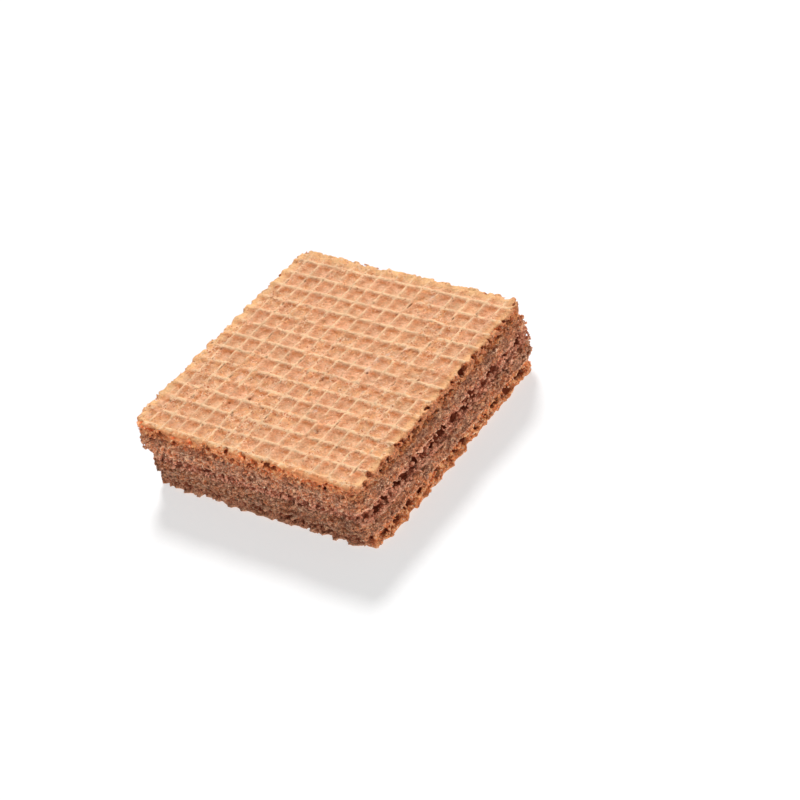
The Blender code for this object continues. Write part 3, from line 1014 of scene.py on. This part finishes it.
def crumb_colour(shader):
    """Torn crumb: light walls, painted shade in the gaps, skins by the cream and smears of it, and painted
    shade further in.
    """
    inset, soaked = shader.attribute("inset"), shader.attribute("soaked")
    light = shader.step(shader.noise(0.36, 4.0, 0.7), 0.44, 0.57)
    crumb = shader.mix(light, SOAKED, SOAKED_LIGHT)
    crumb = shader.mix(soaked, shader.mix(light, DRY, DRY_LIGHT), crumb)
    skin = shader.mix(soaked, DRY_SKIN, SOAKED_SKIN)
    crumb = shader.mix(shader.times(shader.attribute("seam"), 0.85), crumb, skin)
    smear = shader.noise(0.6, 3.0, 0.6, (1, 1, 1.8), 11.0)
    smear = shader.step(shader.plus(shader.attribute("smear"), smear), 1.0, 1.3, 0.0, 0.85)
    crumb = shader.mix(smear, crumb, cream_colour(shader))
    # Painted shade in the gaps between crumbs.
    gaps = shader.step(shader.noise(0.28, 3.0, 0.7, shift=23.0), 0.44, 0.35)
    gaps = shader.times(gaps, shader.step(shader.attribute("front"), 0.0, 1.0, 0.8, 0.55))
    crumb = shader.mix(gaps, crumb, DEEP_SHADE)
    crumb = grainy(shader, painted_shade_and_hue_by_side(shader, sparkling(shader, crumb)))
    # Painted highlight on the outermost crumbs.
    crumb = shader.mix(shader.step(inset, 0.2, 0.6, 0.14, 0.0), crumb, SPARKLE)
    # Painted shade further in from the side, in pockets and hollows.
    return shader.mix(shader.step(inset, 0.5, 1.5), crumb, DEEP_SHADE)


def wafer_material():
    shader = Shader("baked_wafer")
    baked = shader.attribute("baked")
    colour = shader.mix(baked, crumb_colour(shader), baked_colour(shader))
    relief = shader.combine("SUBTRACT", 1.0, shader.times(baked, 0.15))
    relief = shader.times(shader.noise(0.26, 5.0, 0.7, shift=2.0), relief)
    return shader.finish(colour, relief, 0.48, 0.66, 0.25)


def cream_material():
    shader = Shader("cocoa_cream")
    colour = grainy(shader, painted_shade_and_hue_by_side(shader, cream_colour(shader)))
    # Painted shade further in from the side, in the cream's hollows.
    colour = shader.mix(shader.step(shader.attribute("inset"), 0.55, 1.2), colour, CREAM_SHADE)
    return shader.finish(colour, shader.noise(0.3, 5.0, 0.7), 0.45, 0.55, 0.4)


# ---- stage, light and camera

FLOOR_REACH = 2.0  # in metres
FLOOR_GREY = 0.45
FLOOR_GLOW = 0.56
WORLD_LIGHT = 0.24
LIGHTS = (  # name, direction that it comes from, angle across in degrees, strength
    ("key", (-0.4, 0.56, 0.68), 14, 3.42),
    ("fill", (0.85, -0.3, 0.42), 40, 1.0),
)
CAMERA_PLACE = (234.85, -176.57, 225.62)
CAMERA_AIM = (5.238, 6.943, 0.318)
CAMERA_ROLL = 21.928  # in degrees
CAMERA_LENS = 107.27
CAMERA_SENSOR = 36.0


def add_floor():
    mesh = bpy.data.meshes.new("floor")
    corners = [(x * FLOOR_REACH, y * FLOOR_REACH, 0) for x, y in ((-1, -1), (1, -1), (1, 1), (-1, 1))]
    mesh.from_pydata(corners, [], [(0, 1, 2, 3)])
    material = bpy.data.materials.new("floor")
    material.use_nodes = True
    inputs = material.node_tree.nodes["Principled BSDF"].inputs
    inputs["Base Color"].default_value = (FLOOR_GREY, FLOOR_GREY, FLOOR_GREY, 1)
    inputs["Roughness"].default_value = 0.9
    inputs["Specular IOR Level"].default_value = 0.0
    inputs["Emission Color"].default_value = (1, 1, 1, 1)
    inputs["Emission Strength"].default_value = FLOOR_GLOW
    mesh.materials.append(material)
    linked_object("floor", mesh)


def add_light(name, direction, softness, strength):
    """A soft light from a direction. softness is its angle across in degrees."""
    light = bpy.data.lights.new(name, "SUN")
    light.angle = math.radians(softness)
    light.energy = strength
    lamp = linked_object(name, light)
    lamp.rotation_euler = (-Vector(direction)).to_track_quat("-Z", "Y").to_euler()


def add_camera():
    camera = bpy.data.cameras.new("camera")
    camera.lens = CAMERA_LENS
    camera.sensor_width = CAMERA_SENSOR
    camera.clip_start = 0.01
    made = linked_object("camera", camera)
    place, aim = Vector(CAMERA_PLACE) * MM, Vector(CAMERA_AIM) * MM
    look = (aim - place).to_track_quat("-Z", "Y").to_matrix().to_4x4()
    roll = Matrix.Rotation(-math.radians(CAMERA_ROLL), 4, "Z")
    made.matrix_world = Matrix.Translation(place) @ look @ roll
    bpy.context.scene.camera = made


def set_world():
    world = bpy.data.worlds.new("world")
    world.use_nodes = True
    background = world.node_tree.nodes["Background"]
    background.inputs["Color"].default_value = (1.0, 1.0, 1.0, 1)
    background.inputs["Strength"].default_value = WORLD_LIGHT
    bpy.context.scene.world = world
    bpy.context.scene.view_settings.view_transform = "Standard"


# ---- assembly


def main():
    wafer = wafer_material()
    filling = cream_material()
    top, middle, bottom = top_sheet(), middle_sheet(), bottom_sheet()
    upper = cream("upper_cream", "cream_upper", "wafer_middle", "wafer_top", (320, 300), 500)
    lower = cream("lower_cream", "cream_lower", "wafer_bottom", "wafer_middle", (360, 340), 600)
    pieces = (
        (top, "wafer_top", "wafer", wafer),
        (middle, "wafer_middle", "wafer", wafer),
        (bottom, "wafer_bottom", "wafer", wafer),
        (upper, "cream_upper", "cream", filling),
        (lower, "cream_lower", "cream", filling),
    )
    for piece, node, slot, material in pieces:
        piece.data.materials.append(material)
        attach(piece, BODY)
        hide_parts(node)
    add_floor()
    for light in LIGHTS:
        add_light(*light)
    add_camera()
    set_world()


main()
